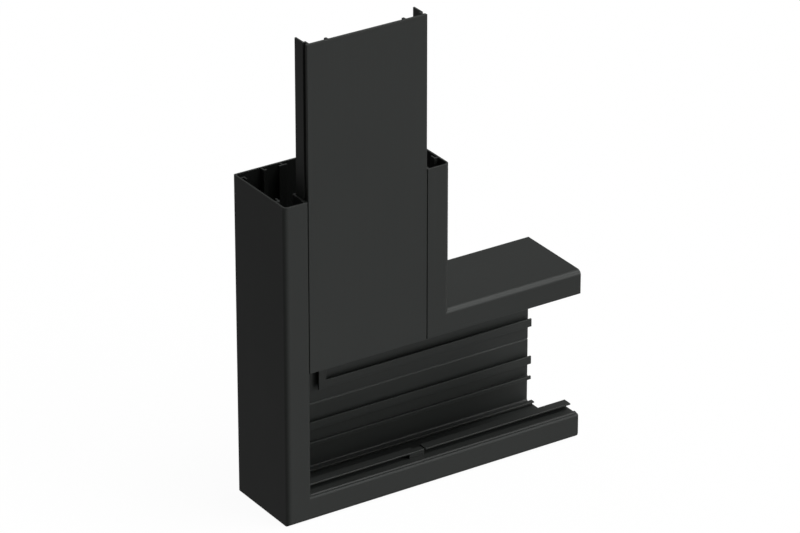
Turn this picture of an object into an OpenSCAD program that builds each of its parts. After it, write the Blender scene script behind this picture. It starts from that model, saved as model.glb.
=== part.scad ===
// Flat corner for a wall duct: an open L-shaped channel and the lid in its upright leg
// Drawn from the outer lower front corner: X right, Y into the wall, Z up, all sizes in mm
// One profile is carried round the corner, so each strip is an L-shaped bar with a square mitre

/* [Channel] */
// Width of each leg across its front
leg_width = 110; // [100:1:130]
// Depth from the front face to the wall face
depth = 54.5; // [48:0.5:70]
// Reach of the level leg from the outer corner
level_reach = 202; // [170:1:300]
// Height of the upright leg from the outer corner
upright_reach = 202; // [170:1:300]
// Thickness of the side walls and front flanges
wall = 1.2; // [1:0.1:1.6]
// Thickness of the base
base = 1.2; // [1:0.1:2]
// Radius of the long front edges
front_round = 3; // [2:0.5:4]
// Radius of the long back edges
back_round = 0.9; // [0.5:0.1:1.1]
// Radius in the corner between the base and a wall
inner_round = 1.2; // [0.6:0.1:2]

/* [Front flanges] */
// Width of each front flange, from the outside to its front edge
flange = 15.1; // [13:0.1:18]
// Rounding of the flange's front edge
edge_round = 0.3; // [0.2:0.05:0.6]
// Width of the slope along the outer flange's front edge
nose_run = 1.55; // [0.8:0.05:2]
// How deep that slope goes
nose_drop = 0.65; // [0.3:0.05:1]
// How much further than the inner one the outer flange reaches
nose_out = 0.35; // [0.1:0.05:0.35]
// How far the snap bead stands out past the flange edge
bead_out = 0.55; // [0.4:0.05:0.7]
// Depth of the thick flange edge, behind the front face
bead_depth = 4.2; // [3.6:0.1:5]
// How far in the thick flange edge starts, from the flange edge
bead_root = 1.9; // [1.5:0.1:2.5]

/* [Lid groove] */
// Depth at which the groove closes, behind the front face
groove_depth = 14.4; // [13.9:0.1:18]
// Thickness of the groove's plates
groove_plate = 1; // [0.8:0.1:1.2]
// Clear width of the groove
groove_width = 2.8; // [2.3:0.05:3.5]
// Depth at which the groove's inner strip starts
strip_start = 8.15; // [6.5:0.1:10]
// Distance of the stop from the outer corner
stop_at = 88.2; // [60:0.1:92]
// Length of the stop
stop_length = 10; // [4:0.5:12]
// Length of the notch behind the stop
notch_length = 5.7; // [3:0.1:8]
// How far the notch reaches into the strip from behind
notch_depth = 2.4; // [1.5:0.1:4]
// Slit between the stop and the strip that follows
stop_slit = 1.1; // [0.8:0.1:2]

/* [Base rails] */
// Height of the rails above the base
rail_height = 3.8; // [3:0.1:6]
// Width of a rail's head
rail_head = 5.2; // [4:0.1:8]
// Thickness of a rail's head
rail_head_thick = 1.1; // [0.8:0.1:1.6]
// Thickness of a rail's stem
rail_stem = 1.2; // [0.8:0.1:2]
// Distance of the outer rails from the centre rail
rail_pitch = 25; // [20:0.5:28]
// Distance of the hooked rib from the outside of its wall
rib_at = 17; // [16:0.5:20]
// Thickness of the hooked rib
rib_thick = 1.1; // [0.8:0.1:1.6]
// Width of the hooked rib's foot
rib_foot = 2.3; // [1.6:0.1:4]
// Distance of the score line's middle from the outside of its wall
score_at = 42.7; // [38:0.1:46]
// Width of the V-shaped score line
score_width = 1.1; // [0.6:0.1:1.5]
// Depth of the score line
score_depth = 0.5; // [0.2:0.1:0.6]

/* [Wall hooks] */
// How far the hooks stand in from the outside of the wall
hook_reach = 3.7; // [3:0.1:5]
// Thickness of the hooks
hook_thick = 0.95; // [0.8:0.05:1.2]
// Length of a hook's lip
hook_lip = 3; // [2:0.1:5]
// Depth of the front hook's root, behind the front face
front_hook_at = 10.6; // [9:0.1:12]
// Distance of the back hook's root from the wall face
back_hook_at = 5.9; // [5:0.1:9]

/* [Lid] */
// Length of the lid
lid_length = 202; // [150:1:400]
// Thickness of the lid's plate
lid_thick = 1.8; // [1.4:0.1:2]
// Gap between the lid and each front flange
lid_gap = 0.5; // [0.45:0.05:0.7]
// Depth of the rim along the lid's edges
rim_depth = 2.3; // [2.1:0.1:2.4]
// Width of that rim
rim_width = 1.5; // [1.2:0.1:2]
// Rounding of the rim at its front
rim_front_round = 0.3; // [0.2:0.05:0.6]
// Rounding of the rim at its back
rim_back_round = 0.9; // [0.85:0.05:1]
// Thickness of the lid's legs
leg_thick = 1.2; // [1:0.05:1.3]
// Clearance between a leg and the groove's outer plate
leg_clearance = 0.5; // [0.4:0.05:0.6]
// Clearance around a leg's shoulder and tip, front and back
leg_play = 0.3; // [0.2:0.05:0.5]
// Thickness of the shoulder between a neck and its leg
shoulder = 1; // [0.8:0.1:1.4]
// How far the necks stand in from the legs
neck_in = 1.3; // [1.1:0.1:1.6]
// How far above the lid's lower end its legs start
leg_rise = 5; // [5:0.5:20]
// Distance of the lid's two ribs from its centre line
lid_rib_at = 25.4; // [15:0.1:32]
// Thickness of the lid's ribs
lid_rib_thick = 1.7; // [1:0.1:2.5]
// Height of the lid's ribs behind its plate
lid_rib_height = 2; // [1:0.1:4]

/* [Hidden] */
$fn = 48;
far = max(level_reach, upright_reach) + 10;
base_face = depth - base;
lip_floor = flange;
strip_out = flange + groove_width;
lead_in = (bead_out - 0.02) * sqrt(2);
lid_low = leg_width - flange - 0.05;
lid_left = flange + lid_gap;
leg_left = flange + leg_clearance;
leg_step = bead_depth + leg_play;
leg_tip = groove_depth - groove_plate - leg_play;

// Square with one round corner taken off it, turned to face the corner it cuts
module round_off(u, v, r, turn) {
  translate([u, v])
    rotate(turn)
      difference() {
        translate([-1, -1]) square(r + 1);
        translate([r, r]) circle(r = r);
      }
}

// What two equal profiles share when one runs up and the other runs to the right
module both_ways(over) {
  intersection() {
    translate([0, 0, -over])
      linear_extrude(height = upright_reach + 2 * over) children();
    mirror([1, 0, -1])
      translate([0, 0, -over])
        linear_extrude(height = level_reach + 2 * over) children();
  }
}

// L-shaped block between two distances from the outside, with round front and back edges
module l_block(near, wide, front, back, front_r, back_r, over) {
  difference() {
    both_ways(over)
      difference() {
        translate([near, front]) square([far, back - front]);
        round_off(near, front, front_r, 0);
        round_off(near, back, back_r, 270);
      }
    both_ways(over + 1)
      difference() {
        translate([wide - front_r - back_r, front - 1]) square([far, back - front + 2]);
        difference() {
          translate([0, front]) square([wide, back - front]);
          round_off(wide, front, front_r, 90);
          round_off(wide, back, back_r, 180);
        }
      }
  }
}

// Plain L-shaped bar, square in section
module l_bar(near, wide, front, back) {
  translate([0, back, 0])
    rotate([90, 0, 0])
      linear_extrude(height = back - front)
        polygon([
          [near, near], [level_reach, near], [level_reach, wide],
          [wide, wide], [wide, upright_reach], [near, upright_reach]
        ]);
}

// The same bar at both sides of the channel
module l_pair(near, wide, front, back) {
  l_bar(near, wide, front, back);
  l_bar(leg_width - wide, leg_width - near, front, back);
}

// Section of the flange's thick edge, with its front rounding and a snap bead that starts with a slope
module edge_section() {
  difference() {
    square([flange, bead_depth]);
    round_off(flange, 0, edge_round, 90);
  }
  translate([flange, 1.6 + bead_out]) circle(r = bead_out);
  polygon([
    [flange, 1.6 + bead_out], [flange - 0.3, 1.6 + bead_out],
    [flange - 0.3, 1.6 + bead_out - lead_in], [flange, 1.6 + bead_out - lead_in],
    [flange + lead_in / 2, 1.6 + bead_out - lead_in / 2]
  ]);
  translate([flange, bead_depth - bead_out - 0.05]) circle(r = bead_out);
  translate([flange - 0.5, 1.6 + bead_out])
    square([0.5 + bead_out, bead_depth - 2 * bead_out - 1.65]);
}

// The outer flange's edge reaches a little further, behind a slope
module outer_edge_section() {
  difference() {
    union() {
      edge_section();
      translate([flange - 1, 0]) square([1 + nose_out, bead_depth]);
    }
    polygon([
      [flange + nose_out - nose_run, 0], [flange + nose_out - nose_run, -1],
      [flange + nose_out + nose_run, -1], [flange + nose_out + nose_run, 2 * nose_drop]
    ]);
  }
}

// The L-shaped opening between the front flanges
module front_opening() {
  difference() {
    both_ways(1)
      difference() {
        translate([flange - 2, -1]) square([far, bead_depth + 1.1]);
        outer_edge_section();
      }
    both_ways(2) {
      translate([leg_width, 0]) mirror([1, 0]) edge_section();
      translate([leg_width - 2, -1]) square([far, bead_depth + 2]);
    }
  }
}

// Channel wall, base and flanges with the front still closed
module shell() {
  difference() {
    l_block(0, leg_width, 0, depth, front_round, back_round, 0);
    l_block(wall, leg_width - wall, wall, base_face, front_round - wall, inner_round, 1);
  }
  l_pair(flange - bead_root, flange + bead_out, wall / 2, bead_depth);
}

// Grooves that take the lid's legs, behind each flange
module lid_grooves() {
  l_pair(lip_floor - groove_plate, lip_floor, bead_depth - 0.3, groove_depth);
  l_pair(lip_floor - groove_plate, strip_out + groove_plate,
         groove_depth - groove_plate, groove_depth);
  l_pair(strip_out, strip_out + groove_plate, strip_start, groove_depth);
}

// Short stop that fills the groove nearest the outer corner
module stop_block() {
  translate([stop_at, strip_start, lip_floor - 0.3])
    cube([stop_length, groove_depth - strip_start - 0.3, groove_width + groove_plate + 0.3]);
}

// Slit that follows the stop, and the notch behind it
module stop_cuts() {
  translate([stop_at + stop_length, strip_start - 1, lip_floor])
    cube([stop_slit, groove_depth - strip_start + 2, groove_width + 2 * groove_plate]);
  translate([stop_at + stop_length - notch_length, groove_depth - notch_depth, strip_out - 0.6])
    cube([notch_length + 0.1, notch_depth + 1, groove_plate + 2]);
}

// Rails, hooked ribs and wall hooks
module rails() {
  mid = leg_width / 2;
  rail_face = base_face - rail_height;
  l_bar(mid - rail_head / 2, mid + rail_head / 2, rail_face, rail_face + rail_head_thick);
  l_bar(mid - rail_stem / 2, mid + rail_stem / 2, rail_face, base_face + base / 2);
  l_pair(mid - rail_pitch - rail_head / 2, mid - rail_pitch + rail_head / 2,
         rail_face, rail_face + rail_head_thick);
  l_pair(mid - rail_pitch - rail_stem / 2, mid - rail_pitch + rail_stem / 2,
         rail_face, base_face + base / 2);
  l_pair(rib_at, rib_at + rib_thick, rail_face, base_face + base / 2);
  l_pair(rib_at, rib_at + rib_foot, rail_face, rail_face + rib_thick);
}

module wall_hooks() {
  back_root = depth - back_hook_at;
  l_pair(wall / 2, hook_reach, front_hook_at, front_hook_at + hook_thick);
  l_pair(hook_reach - hook_thick, hook_reach, front_hook_at, front_hook_at + hook_lip + hook_thick);
  l_pair(wall / 2, hook_reach, back_root - hook_thick, back_root);
  l_pair(hook_reach - hook_thick, hook_reach, back_root - hook_lip, back_root);
}

// V-shaped groove that follows the corner, wide at the base's inner face
module l_score(middle) {
  half = score_width / 2;
  difference() {
    both_ways(1)
      polygon([
        [middle - half, base_face - 1], [middle - half, base_face],
        [middle, base_face + score_depth], [middle + far, base_face + score_depth],
        [middle + far, base_face - 1]
      ]);
    both_ways(2)
      polygon([
        [middle + half, base_face - 2], [middle + half, base_face],
        [middle, base_face + score_depth], [middle, base_face + base],
        [middle + far, base_face + base], [middle + far, base_face - 2]
      ]);
  }
}

module scores() {
  l_score(score_at);
  l_score(leg_width - score_at);
}

module body() {
  color([0.05, 0.055, 0.05])
    translate([-level_reach / 2, -depth / 2, 0]) {
      difference() {
        union() {
          difference() {
            shell();
            front_opening();
            scores();
          }
          lid_grooves();
          rails();
          wall_hooks();
          stop_block();
          mirror([1, 0, -1]) stop_block();
        }
        stop_cuts();
        mirror([1, 0, -1]) stop_cuts();
      }
    }
}

// Half of the lid's section, from its edge to just past the centre line
module lid_half() {
  mid = leg_width / 2;
  translate([lid_left + rim_width / 2, 0]) square([mid - lid_left, lid_thick]);
  difference() {
    translate([lid_left, 0]) square([rim_width + rim_back_round, rim_depth]);
    round_off(lid_left, 0, rim_front_round, 0);
    round_off(lid_left, rim_depth, rim_back_round, 270);
    translate([lid_left + rim_width, lid_thick]) square([rim_back_round + 1, rim_depth]);
  }
  translate([mid - lid_rib_at - lid_rib_thick / 2, lid_thick / 2])
    square([lid_rib_thick, lid_rib_height + lid_thick / 2]);
}

// One leg of the lid: a set-in neck, a shoulder, then the part that fills the groove
module lid_leg() {
  neck = leg_left + neck_in;
  translate([neck, lid_thick / 2]) square([leg_thick, leg_step + shoulder - lid_thick / 2]);
  translate([leg_left, leg_step]) square([neck_in + leg_thick, shoulder]);
  translate([leg_left, leg_step]) square([leg_thick, leg_tip - leg_step]);
}

module both_sides() {
  children();
  translate([leg_width, 0]) mirror([1, 0]) children();
}

module cover() {
  color([0.055, 0.06, 0.055])
    translate([-level_reach / 2, -depth / 2, lid_low]) {
      linear_extrude(height = lid_length) both_sides() lid_half();
      translate([0, 0, leg_rise])
        linear_extrude(height = lid_length - leg_rise) both_sides() lid_leg();
    }
}

body();
cover();
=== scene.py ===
import math

import bpy
import numpy as np
from mathutils import Matrix, Vector


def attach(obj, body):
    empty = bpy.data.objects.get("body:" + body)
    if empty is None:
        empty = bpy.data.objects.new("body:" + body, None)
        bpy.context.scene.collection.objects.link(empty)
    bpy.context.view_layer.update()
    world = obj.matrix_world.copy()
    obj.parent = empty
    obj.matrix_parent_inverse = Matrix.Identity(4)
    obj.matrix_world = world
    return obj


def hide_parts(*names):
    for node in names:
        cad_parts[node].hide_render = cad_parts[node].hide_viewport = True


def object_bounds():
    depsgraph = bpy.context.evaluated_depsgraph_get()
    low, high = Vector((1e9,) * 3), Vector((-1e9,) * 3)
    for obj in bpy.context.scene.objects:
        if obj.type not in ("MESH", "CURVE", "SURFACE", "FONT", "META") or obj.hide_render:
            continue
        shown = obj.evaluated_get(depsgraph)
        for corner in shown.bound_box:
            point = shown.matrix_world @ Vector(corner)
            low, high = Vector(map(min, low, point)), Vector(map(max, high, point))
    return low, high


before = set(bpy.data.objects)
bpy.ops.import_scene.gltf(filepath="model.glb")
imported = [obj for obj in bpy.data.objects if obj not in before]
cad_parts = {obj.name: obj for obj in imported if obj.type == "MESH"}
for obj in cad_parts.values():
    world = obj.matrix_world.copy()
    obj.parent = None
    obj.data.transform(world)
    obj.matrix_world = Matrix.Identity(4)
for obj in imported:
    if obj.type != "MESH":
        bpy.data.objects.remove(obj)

cadBox = [[float(v) for v in corner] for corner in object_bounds()]
print("duct corner loaded, box", cadBox)

perMetre = 1000.0  # millimetres in a metre
arcPoints = 9  # on each rounded corner of a profile


class Wire:
    # one output socket in a node sheet; sums and products written on a number's socket add Math nodes
    def __init__(self, sheet, socket):
        self.sheet = sheet
        self.socket = socket

    def joined(self, operation, first, second):
        return self.sheet.add("Math", {"operation": operation}, {0: first, 1: second})

    def __add__(self, other):
        return self.joined("ADD", self, other)

    def __radd__(self, other):
        return self.joined("ADD", other, self)

    def __sub__(self, other):
        return self.joined("SUBTRACT", self, other)

    def __rsub__(self, other):
        return self.joined("SUBTRACT", other, self)

    def __mul__(self, other):
        return self.joined("MULTIPLY", self, other)

    def __rmul__(self, other):
        return self.joined("MULTIPLY", other, self)

    def __pow__(self, other):
        return self.joined("POWER", self, other)

    def __rpow__(self, other):
        return self.joined("POWER", other, self)

    def lowest(self, other):
        return self.joined("MINIMUM", self, other)

    def highest(self, other):
        return self.joined("MAXIMUM", self, other)


class Sheet:
    # the node sheet of one material or world
    def __init__(self, owner):
        owner.use_nodes = True
        self.owner = owner
        self.nodes = owner.node_tree.nodes
        self.links = owner.node_tree.links
        self.nodes.clear()

    def add(self, kind, settings=None, values=None, out=0):
        # settings come first, because they decide which sockets a node shows
        node = self.nodes.new("ShaderNode" + kind)
        for key, value in (settings or {}).items():
            setattr(node, key, value)
        for key, value in (values or {}).items():
            if isinstance(value, Wire):
                self.links.new(value.socket, node.inputs[key])
            else:
                node.inputs[key].default_value = value
        return Wire(self, node.outputs[out]) if len(node.outputs) else None

    def mixed(self, factor, first, second):
        # a Mix node's colour inputs are numbers 6 and 7, and its colour result is number 2
        return self.add("Mix", {"data_type": "RGBA"}, {0: factor, 6: first, 7: second}, out=2)


# the finish of both pieces: noise varies the tone by up to toneSpread of itself, and worn outer corners and
# the painted highlight along the score lines turn paler, towards the wear-and-highlight tone times the tone,
# by its least share and up to its grain share more; scales are noise cells a metre, but for the lines cells a
# millimetre across the duct, and a metre along it counts as metreAlong millimetres
plasticLook = {"tone": (0.024, 0.026, 0.0245), "toneSpread": 0.2,
               "roughness": 0.46, "gloss": 0.25, "ior": 1.5,
               "cloudScale": 22.0, "cloudDetail": 4.0, "cloudTone": 0.4, "cloudRough": 0.10,
               "lineScale": 1.4, "lineDetail": 3.0, "lineTone": 0.35, "lineHeight": 0.4, "metreAlong": 6.0,
               "grainScale": 2600.0, "grainDetail": 2.0, "grainTone": 0.25, "grainRough": 0.06,
               "grainHeight": 0.6, "wearAndHighlightTone": 1.7, "wearAndHighlightLeast": 0.35, "wearAndHighlightGrain": 0.5, "wearAndHighlightSmooth": 0.05,
               "bump": 0.6, "bumpHeight": 0.00004}


def finishPlastic(name, turnsCorner):
    # extruded plastic: clouded tone, grain, fine lines that run along both legs, outer edges worn a little
    # paler, and a painted highlight along the score lines
    look = plasticLook
    sheet = Sheet(bpy.data.materials.new(name))
    place = sheet.add("TexCoord", out="Object")
    split = sheet.add("SeparateXYZ", None, {0: place}).socket.node
    x, y, z = [Wire(sheet, socket) for socket in split.outputs]
    fromLeft = x - cadBox[0][0]
    # where a piece turns the corner, across is the smaller of the two distances and along the larger
    across = fromLeft.lowest(z) if turnsCorner else fromLeft
    along = fromLeft.highest(z) if turnsCorner else z
    lineSpace = sheet.add("CombineXYZ", None, {
        0: across * perMetre, 1: y * perMetre, 2: along * look["metreAlong"]})

    def noise(kind, space):
        return sheet.add("TexNoise", None, {
            "Vector": space, "Scale": look[kind + "Scale"], "Detail": look[kind + "Detail"]})

    def toned(share):
        return [c * share for c in look["tone"]] + [1.0]

    lines = noise("line", lineSpace)
    grain = noise("grain", place)
    cloud = noise("cloud", place)
    varied = cloud * look["cloudTone"] + lines * look["lineTone"] + grain * look["grainTone"]
    shade = sheet.mixed(varied, toned(1.0 - look["toneSpread"]), toned(1.0 + look["toneSpread"]))
    # the attribute read here holds worn outer corners and the painted highlight along the score lines; both
    # mix the tone paler
    rubbedAndLit = sheet.add("Attribute", {"attribute_name": "rubbedAndLit"}, out="Fac")
    wearAndHighlight = rubbedAndLit * (look["wearAndHighlightLeast"] + grain * look["wearAndHighlightGrain"])
    shade = sheet.mixed(wearAndHighlight, shade, toned(look["wearAndHighlightTone"]))
    rough = (look["roughness"] + (cloud - 0.5) * look["cloudRough"]
             + (grain - 0.5) * look["grainRough"] - wearAndHighlight * look["wearAndHighlightSmooth"])
    height = grain * look["grainHeight"] + lines * look["lineHeight"]
    bump = sheet.add("Bump", None, {
        "Height": height, "Strength": look["bump"], "Distance": look["bumpHeight"]})
    plastic = sheet.add("BsdfPrincipled", None, {
        "Base Color": shade, "Roughness": rough, "Normal": bump,
        "IOR": look["ior"], "Specular IOR Level": look["gloss"]})
    sheet.add("OutputMaterial", None, {"Surface": plastic})
    return sheet.owner


def rounded(corners):
    # each corner (across, deep, radius) becomes an arc that touches its two edges: its centre lies radius
    # from both, and point = centre + sign * radius * normal, while the normal turns from the first edge's
    # to the next's
    corners = np.array(corners, float)
    here, radius = corners[:, :2], corners[:, 2:3]
    coming = here - np.roll(here, 1, 0)
    coming /= np.linalg.norm(coming, axis=1, keepdims=True)
    going = np.roll(coming, -1, 0)
    sine = coming[:, 0] * going[:, 1] - coming[:, 1] * going[:, 0]
    turn = np.arctan2(sine, (coming * going).sum(1))[:, None]
    sign = np.sign(turn)
    outward = np.stack([coming[:, 1], -coming[:, 0]], 1)
    centre = here - coming * radius * np.tan(np.abs(turn) / 2) - outward * radius * sign
    share = np.linspace(0.0, 1.0, arcPoints)[None, :]
    angle = turn * share
    normal = np.stack([outward[:, :1] * np.cos(angle) - outward[:, 1:] * np.sin(angle),
                       outward[:, :1] * np.sin(angle) + outward[:, 1:] * np.cos(angle)], 2)
    points = centre[:, None, :] + (sign * radius)[:, :, None] * normal
    rubbedAndLit = np.sin(share * np.pi) * (sign > 0)  # outer corners alone, most at the middle of the arc
    return points.reshape(-1, 2), normal.reshape(-1, 2), rubbedAndLit.reshape(-1)


class Skin:
    # gathers the carried profiles of one piece; millimetres from the duct's outer lower corner
    def __init__(self):
        self.places, self.faces, self.normals, self.rubbedAndLit = [], [], [], []
        self.count = 0

    def carry(self, corners, stations, insets, paintedHighlights=()):
        # a profile carried along the duct: station < 0 is out along the level leg, 0 the mitre, > 0 up the
        # upright leg; along = larger of |station| and across, and the level leg swaps across and height
        points, normals, rubbedAndLit = rounded(corners)
        for middle, half, surface, litShare in paintedHighlights:
            # a painted highlight along each score: the plastic is painted paler where |across - middle| <
            # half, below the surface
            inHighlight = (np.abs(points[:, 0] - middle) < half) & (points[:, 1] > surface)
            rubbedAndLit = np.where(inHighlight, litShare, rubbedAndLit)
        s, inset = np.array(stations, float)[:, None], np.array(insets, float)[:, None]
        across = points[:, 0] - inset * normals[:, 0]
        deep = points[:, 1] - inset * normals[:, 1]
        along = np.maximum(np.abs(s), across)
        places = np.stack([np.where(s < 0, along, across), deep, np.where(s < 0, across, along)], 2)
        rings, size = across.shape
        ids = self.count + np.arange(rings * size).reshape(rings, size)
        nextIds = np.roll(ids, -1, 1)
        quads = np.stack([ids[:-1], nextIds[:-1], nextIds[1:], ids[1:]], 2)
        self.faces += quads.reshape(-1, 4).tolist()
        # side normals lean 45 degrees towards the end where the profile draws in
        level = (s[:-1] + s[1:]) < 0
        lean = np.sign(inset[1:] - inset[:-1]) * math.sqrt(0.5)
        side = np.sqrt(1.0 - lean ** 2)
        axis = np.where(level, -lean, lean) * np.ones(size)
        first, second = normals[:, 0] * side, normals[:, 1] * side
        ring = np.stack([np.where(level, axis, first), second, np.where(level, first, axis)], 2)
        nextRing = np.roll(ring, -1, 1)
        self.normals.append(np.stack([ring, nextRing, nextRing, ring], 2).reshape(-1, 3))
        # flat ends, each facing away from the profile
        for row, way in ((0, -1.0), (-1, 1.0)):
            onLevel = s[row, 0] < 0
            end = np.zeros(3)
            end[0 if onLevel else 2] = -way if onLevel else way
            self.faces.append((ids[row] if way > 0 else ids[row][::-1]).tolist())
            self.normals.append(np.tile(end, (size, 1)))
        self.places.append(places.reshape(-1, 3))
        self.rubbedAndLit.append(np.tile(rubbedAndLit, rings))
        self.count += rings * size

    def made(self, name, node, material):
        # puts what was gathered into one mesh, in metres and in its place in the frame
        mesh = bpy.data.meshes.new(name)
        corner = np.array(cadBox[0]) * perMetre
        places = (np.concatenate(self.places) + corner) / perMetre
        mesh.from_pydata(places.tolist(), [], self.faces)
        mesh.shade_smooth()
        mesh.normals_split_custom_set(np.concatenate(self.normals).tolist())
        rubbedAndLit = mesh.attributes.new("rubbedAndLit", "FLOAT", "POINT")
        rubbedAndLit.data.foreach_set("value", np.concatenate(self.rubbedAndLit).astype(np.float32))
        mesh.materials.append(material)
        thing = bpy.data.objects.new(name, mesh)
        bpy.context.scene.collection.objects.link(thing)
        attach(thing, "root")
        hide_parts(node)


def otherSide(corners, width):
    # the same corners on the far side of the centre line, taken the other way round
    return [(width - across, deep, radius) for across, deep, radius in corners[::-1]]


# small corners' radii in millimetres, from the sharpest to the softest
tiny, fine, slight, mild, soft = 0.1, 0.15, 0.2, 0.25, 0.3

# millimetres; an edge's corners are (out past the flange, deep, radius), and the corners worked out below are
# (across, deep, radius), with the material on the left of the way round
duct = {"width": 110.0, "depth": 54.5, "reach": 202.0, "wall": 1.2, "chamfer": 0.12,
        "frontRound": 3.0, "backRound": 0.9, "innerRound": 1.2,
        "flange": 15.1, "edgeRoot": 1.9, "edgeDepth": 4.2,
        "outerEdge": [(-0.75, 0, 0.3), (0, 0.25, 0.15), (0.32, 0.57, 0.1), (0.35, 1.72, 0.15),
                      (0.85, 2.4, 0.3), (0.85, 4.2, 0.35), (0, 4.2, 0.08)],
        "innerEdge": [(0, 0, 0.3), (0, 1.4, 0.1), (0.55, 1.95, 0.5), (0.55, 4.15, 0.45), (0, 4.15, 0.08)],
        "grooveWidth": 2.8, "grooveDepth": 14.4, "groovePlate": 1.0, "plateShort": 0.05,
        "stripStart": 8.15, "stripLap": 0.3,
        "stopAt": 88.2, "stopLength": 10.0, "stopSlit": 1.1,
        "notchLength": 5.7, "notchDepth": 2.4, "notchReach": 0.6,
        "hookReach": 3.7, "hookThick": 0.95, "hookLip": 3.0, "frontHookAt": 10.6, "backHookAt": 5.9,
        "railHeight": 3.8, "railHead": 5.2, "headThick": 1.1, "railStem": 1.2, "railPitch": 25.0,
        "ribAt": 17.0, "ribThick": 1.1, "ribFoot": 2.3,
        # the last two here set the painted highlight along each score: its share of paler tone and its margin
        "scoreAt": 42.7, "scoreWidth": 1.1, "scoreDepth": 0.5, "scoreHighlightShare": 1.7, "highlightMargin": 0.05}


def hook(root, lip, way):
    # a wall hook that leaves the wall at root, with a lip that runs towards the back (way 1) or front (-1)
    wall, reach, thick = duct["wall"], duct["hookReach"], duct["hookThick"]
    inside, end = root + way * thick, root + way * lip
    corners = [(wall, root, fine), (reach, root, soft), (reach, end, soft), (reach - thick, end, soft),
               (reach - thick, inside, fine), (wall, inside, fine)]
    return corners[::way]


def hookedRib(base, face):
    # up from the base, round the head, ribFoot wide, that hooks inwards, and back down
    near, far, thick = duct["ribAt"], duct["ribAt"] + duct["ribFoot"], duct["ribThick"]
    return [(near, base, slight), (near, face, mild), (far, face, mild), (far, face + thick, mild),
            (near + thick, face + thick, fine), (near + thick, base, slight)]


def railSide(middle, base, face):
    # the near side of a rail: up its stem from the base, then round its head
    stem, head, back = middle - duct["railStem"] / 2, middle - duct["railHead"] / 2, face + duct["headThick"]
    return [(stem, base, slight), (stem, back, fine), (head, back, mild), (head, face, mild)]


def channelSide():
    # the inside of one half, from the groove's plate round the wall and along the base to the centre rail
    wall, edge, lip = duct["wall"], duct["edgeDepth"], duct["hookLip"]
    plate, root = duct["flange"] - duct["groovePlate"], duct["flange"] - duct["edgeRoot"]
    base = duct["depth"] - wall
    face = base - duct["railHeight"]
    middle, score, half = duct["width"] / 2, duct["scoreAt"], duct["scoreWidth"] / 2
    rail = railSide(middle - duct["railPitch"], base, face)
    return ([(plate, duct["grooveDepth"], soft), (plate, edge, fine), (root, edge, soft), (root, wall, fine),
             (wall, wall, duct["frontRound"] - wall)]
            + hook(duct["frontHookAt"], lip + duct["hookThick"], 1)
            + hook(duct["depth"] - duct["backHookAt"], lip, -1)
            + [(wall, base, duct["innerRound"])]
            + hookedRib(base, face)
            + rail + otherSide(rail, 2 * (middle - duct["railPitch"]))
            + [(score - half, base, fine), (score, base + duct["scoreDepth"], tiny),
               (score + half, base, fine)]
            + railSide(middle, base, face))


def flangeSide(edge):
    # the outside of one half, from the wall face round the front to the back of the flange's edge
    return ([(0, duct["depth"], duct["backRound"]), (0, 0, duct["frontRound"])]
            + [(duct["flange"] + out, deep, radius) for out, deep, radius in edge])


def buildDuct():
    # one section round the whole L; the outer groove's floor and strip come as runs of their own, because
    # the stop breaks them, and they lap into the groove's plate, which ends plateShort before their back
    skin = Skin()
    width, reach, c = duct["width"], duct["reach"], duct["chamfer"]
    start, deep = duct["stripStart"], duct["grooveDepth"]
    near, lap = duct["flange"], duct["flange"] - duct["stripLap"]
    floor, far = deep - duct["groovePlate"], near + duct["grooveWidth"]
    back = far + duct["groovePlate"]
    stripWall = [(far, floor, fine), (far, start, soft), (back, start, soft), (back, deep, soft)]
    outer = flangeSide(duct["outerEdge"]) + [(near, deep - duct["plateShort"], slight)] + channelSide()
    inner = flangeSide(duct["innerEdge"]) + [(near, floor, fine)] + stripWall + channelSide()
    # along both score lines the plastic is painted paler, a painted highlight where the groove's lower flank
    # would catch the light
    half = duct["scoreWidth"] / 2 + duct["highlightMargin"]
    surface = duct["depth"] - duct["wall"] - duct["highlightMargin"]
    scoreHighlightBands = [(middle, half, surface, duct["scoreHighlightShare"])
              for middle in (duct["scoreAt"], width - duct["scoreAt"])]
    skin.carry(outer + otherSide(inner, width), [-reach, c - reach, 0, reach - c, reach], [c, 0, 0, 0, c],
               paintedHighlights=scoreHighlightBands)
    strip = [(lap, floor, tiny)] + stripWall + [(lap, deep, tiny)]
    stop = [(lap, start, tiny), (back, start, soft), (back, deep, soft), (lap, deep, tiny)]
    cut, above = far - duct["notchReach"], deep - duct["notchDepth"]
    notched = stop[:2] + [(back, above, soft), (cut, above, fine), (cut, deep, soft)] + stop[3:]
    stopFrom, stopTo = duct["stopAt"], duct["stopAt"] + duct["stopLength"]
    notchFrom, beyond = stopTo - duct["notchLength"], stopTo + duct["stopSlit"]
    skin.carry(strip, [-stopFrom, 0, stopFrom], [0, 0, 0])
    # on each leg the stop, notched behind, then a narrow slit, then the strip goes on to the end
    for way in (-1, 1):
        skin.carry(stop, sorted((stopFrom * way, notchFrom * way)), [0, 0])
        skin.carry(notched, sorted((notchFrom * way, stopTo * way)), [0, 0])
        run = [(beyond, c), (beyond + c, 0), (reach - c, 0), (reach, c)][::way]
        skin.carry(strip, [at * way for at, inset in run], [inset for at, inset in run])
    skin.made("ductBody", "body", finishPlastic("ductPlastic", turnsCorner=True))


# the legs end a hair below the plate's upper end, so that the two flat ends don't share a plane
lid = {"length": 202.0, "lowGap": 0.05, "sideGap": 0.5, "thick": 1.8, "chamfer": 0.12,
       "rimWidth": 1.5, "rimDepth": 2.3, "rimFrontRound": 0.3, "rimBackRound": 0.9,
       "ribAt": 25.4, "ribThick": 1.7, "ribHeight": 2.0,
       "legGap": 0.5, "legThick": 1.2, "legPlay": 0.3, "legRise": 5.0, "legShort": 0.02,
       "shoulder": 1.0, "neckIn": 1.3, "neckLap": 0.3}


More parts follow.
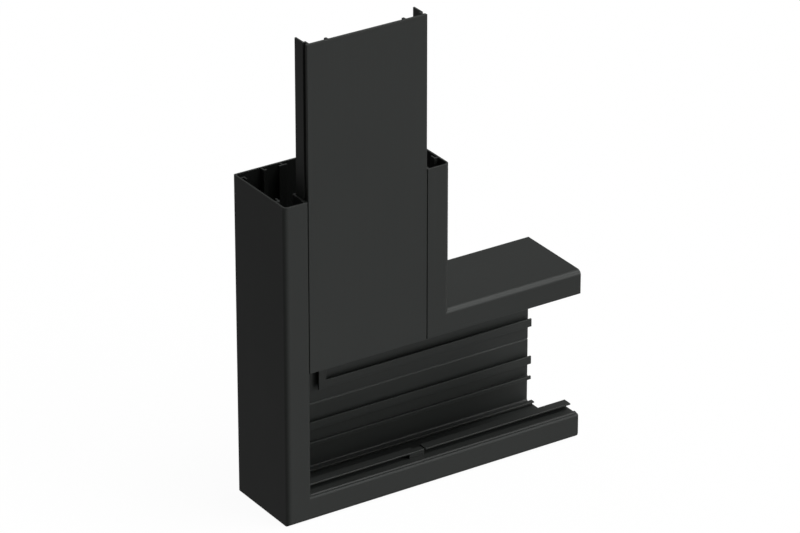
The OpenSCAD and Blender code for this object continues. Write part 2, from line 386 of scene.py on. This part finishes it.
def buildLid():
    # the plate with its ribs and rims, then the two legs, all along the upright leg alone
    skin = Skin()
    width, c, thick = duct["width"], lid["chamfer"], lid["thick"]
    low = width - duct["flange"] - lid["lowGap"]
    high = low + lid["length"]
    edge = duct["flange"] + lid["sideGap"]
    rim, rib, top = edge + lid["rimWidth"], width / 2 - lid["ribAt"], thick + lid["ribHeight"]
    ribNear, ribFar = rib - lid["ribThick"] / 2, rib + lid["ribThick"] / 2
    plate = [(ribFar, thick, fine), (ribFar, top, mild), (ribNear, top, mild), (ribNear, thick, fine),
             (rim, thick, fine), (rim, lid["rimDepth"], slight),
             (edge, lid["rimDepth"], lid["rimBackRound"]), (edge, 0, lid["rimFrontRound"])]
    skin.carry(plate + otherSide(plate, width), [low, low + c, high - c, high], [c, 0, 0, c])
    near = duct["flange"] + lid["legGap"]
    far, neck, neckFar = near + lid["legThick"], near + lid["neckIn"], near + lid["neckIn"] + lid["legThick"]
    neckFrom, step = thick - lid["neckLap"], duct["edgeDepth"] + lid["legPlay"]
    stepTo, tip = step + lid["shoulder"], duct["grooveDepth"] - duct["groovePlate"] - lid["legPlay"]
    leg = [(neckFar, neckFrom, tiny), (neckFar, stepTo, slight), (far, stepTo, fine), (far, tip, soft),
           (near, tip, soft), (near, step, mild), (neck, step, fine), (neck, neckFrom, tiny)]
    low, high = low + lid["legRise"], high - lid["legShort"]
    for side in (leg, otherSide(leg, width)):
        skin.carry(side, [low, low + c, high - c, high], [c, 0, 0, c])
    skin.made("ductLid", "cover", finishPlastic("lidPlastic", turnsCorner=False))


buildDuct()
buildLid()
print("duct and lid built")

# each panel is (side it stands on, focus, strength); the last one lights the wall face from behind
studio = {"target": (-0.024826, -0.02725, 0.14623), "turn": 33.114, "height": 26.153,
          "distance": 2.6759, "lens": 212.911, "sensor": 36.0, "clipEnd": 50.0,
          "whiteInGloss": 0.12, "floorHalf": 20.0, "floorTone": 0.60, "floorWhite": 1.04, "floorShow": 0.92,
          "panels": [((0.55, -0.75, 0.35), 24, 7.35),
                     ((0.30, -0.20, 0.93), 24, 10.2),
                     ((0.55, -0.83, -0.04), 4, 0.67),
                     ((-0.15, 0.74, 0.65), 4, 0.58),
                     ((-0.31, -0.91, -0.27), 4, 0.43),
                     ((-0.57, 0.38, -0.73), 4, 0.33),
                     ((0.18, -0.74, -0.65), 4, 0.24),
                     ((0.55, 0.75, -0.37), 24, 6)]}


def setCamera():
    # the camera stands back from the target by distance * (-sin turn * cos height, -cos turn * cos height,
    # sin height), and looks at it
    turn, height = math.radians(studio["turn"]), math.radians(studio["height"])
    back = Vector((-math.sin(turn) * math.cos(height), -math.cos(turn) * math.cos(height), math.sin(height)))
    target = Vector(studio["target"])
    place = target + back * studio["distance"]
    facing = (target - place).to_track_quat("-Z", "Y")
    data = bpy.data.cameras.new("photoCamera")
    data.sensor_width = studio["sensor"]
    data.lens = studio["lens"]
    data.clip_end = studio["clipEnd"]
    camera = bpy.data.objects.new("photoCamera", data)
    camera.matrix_world = Matrix.Translation(place) @ facing.to_matrix().to_4x4()
    bpy.context.scene.collection.objects.link(camera)
    bpy.context.scene.camera = camera


def raysThatSee(sheet):
    # 1 where the camera or clear plastic looks, and the share of the white that gloss takes; full white in
    # gloss would turn the matt dark sides grey
    rays = sheet.add("LightPath").socket.node.outputs
    seen = Wire(sheet, rays["Is Camera Ray"]).highest(Wire(sheet, rays["Is Transmission Ray"]))
    return seen, Wire(sheet, rays["Is Glossy Ray"]) * studio["whiteInGloss"]


def setRoom():
    # soft panels: each adds strength * (cosine between the way looked and the panel's side) ** focus
    world = bpy.data.worlds.new("studioRoom")
    bpy.context.scene.world = world
    sheet = Sheet(world)
    looked = sheet.add("TexCoord", out="Generated")
    light = 0.0
    for side, focus, strength in studio["panels"]:
        facing = sheet.add("VectorMath", {"operation": "DOT_PRODUCT"},
                           {0: looked, 1: Vector(side).normalized()}, out="Value")
        light = facing.highest(0.0) ** focus * strength + light
    seen, gloss = raysThatSee(sheet)
    sky = sheet.add("Background", None, {"Strength": light * (1.0 - seen) + seen + gloss})
    sheet.add("OutputWorld", None, {"Surface": sky})


def setFloor():
    # a wide pale sheet that shows white to the camera and keeps a soft part of the shadow; the panels light
    # the part from below too, as on a light table, so the sheet stays out of its light and its gloss
    half, tone = studio["floorHalf"], studio["floorTone"]
    mesh = bpy.data.meshes.new("studioFloor")
    corners = [(-half, -half, 0), (half, -half, 0), (half, half, 0), (-half, half, 0)]
    mesh.from_pydata(corners, [], [(0, 1, 2, 3)])
    floor = bpy.data.objects.new("studioFloor", mesh)
    bpy.context.scene.collection.objects.link(floor)
    sheet = Sheet(bpy.data.materials.new("floorPaint"))
    seen, gloss = raysThatSee(sheet)
    paint = sheet.add("BsdfDiffuse", None, {"Color": (tone, tone, tone, 1.0)})
    white = sheet.add("Emission", None, {"Color": (1.0, 1.0, 1.0, 1.0), "Strength": studio["floorWhite"]})
    shown = seen * studio["floorShow"] + gloss
    surface = sheet.add("MixShader", None, {0: shown, 1: paint, 2: white})
    sheet.add("OutputMaterial", None, {"Surface": surface})
    mesh.materials.append(sheet.owner)
    floor.visible_diffuse = False
    floor.visible_glossy = False
    floor.visible_shadow = False


setCamera()
setRoom()
setFloor()
bpy.context.scene.view_settings.view_transform = "Standard"
print("studio set")
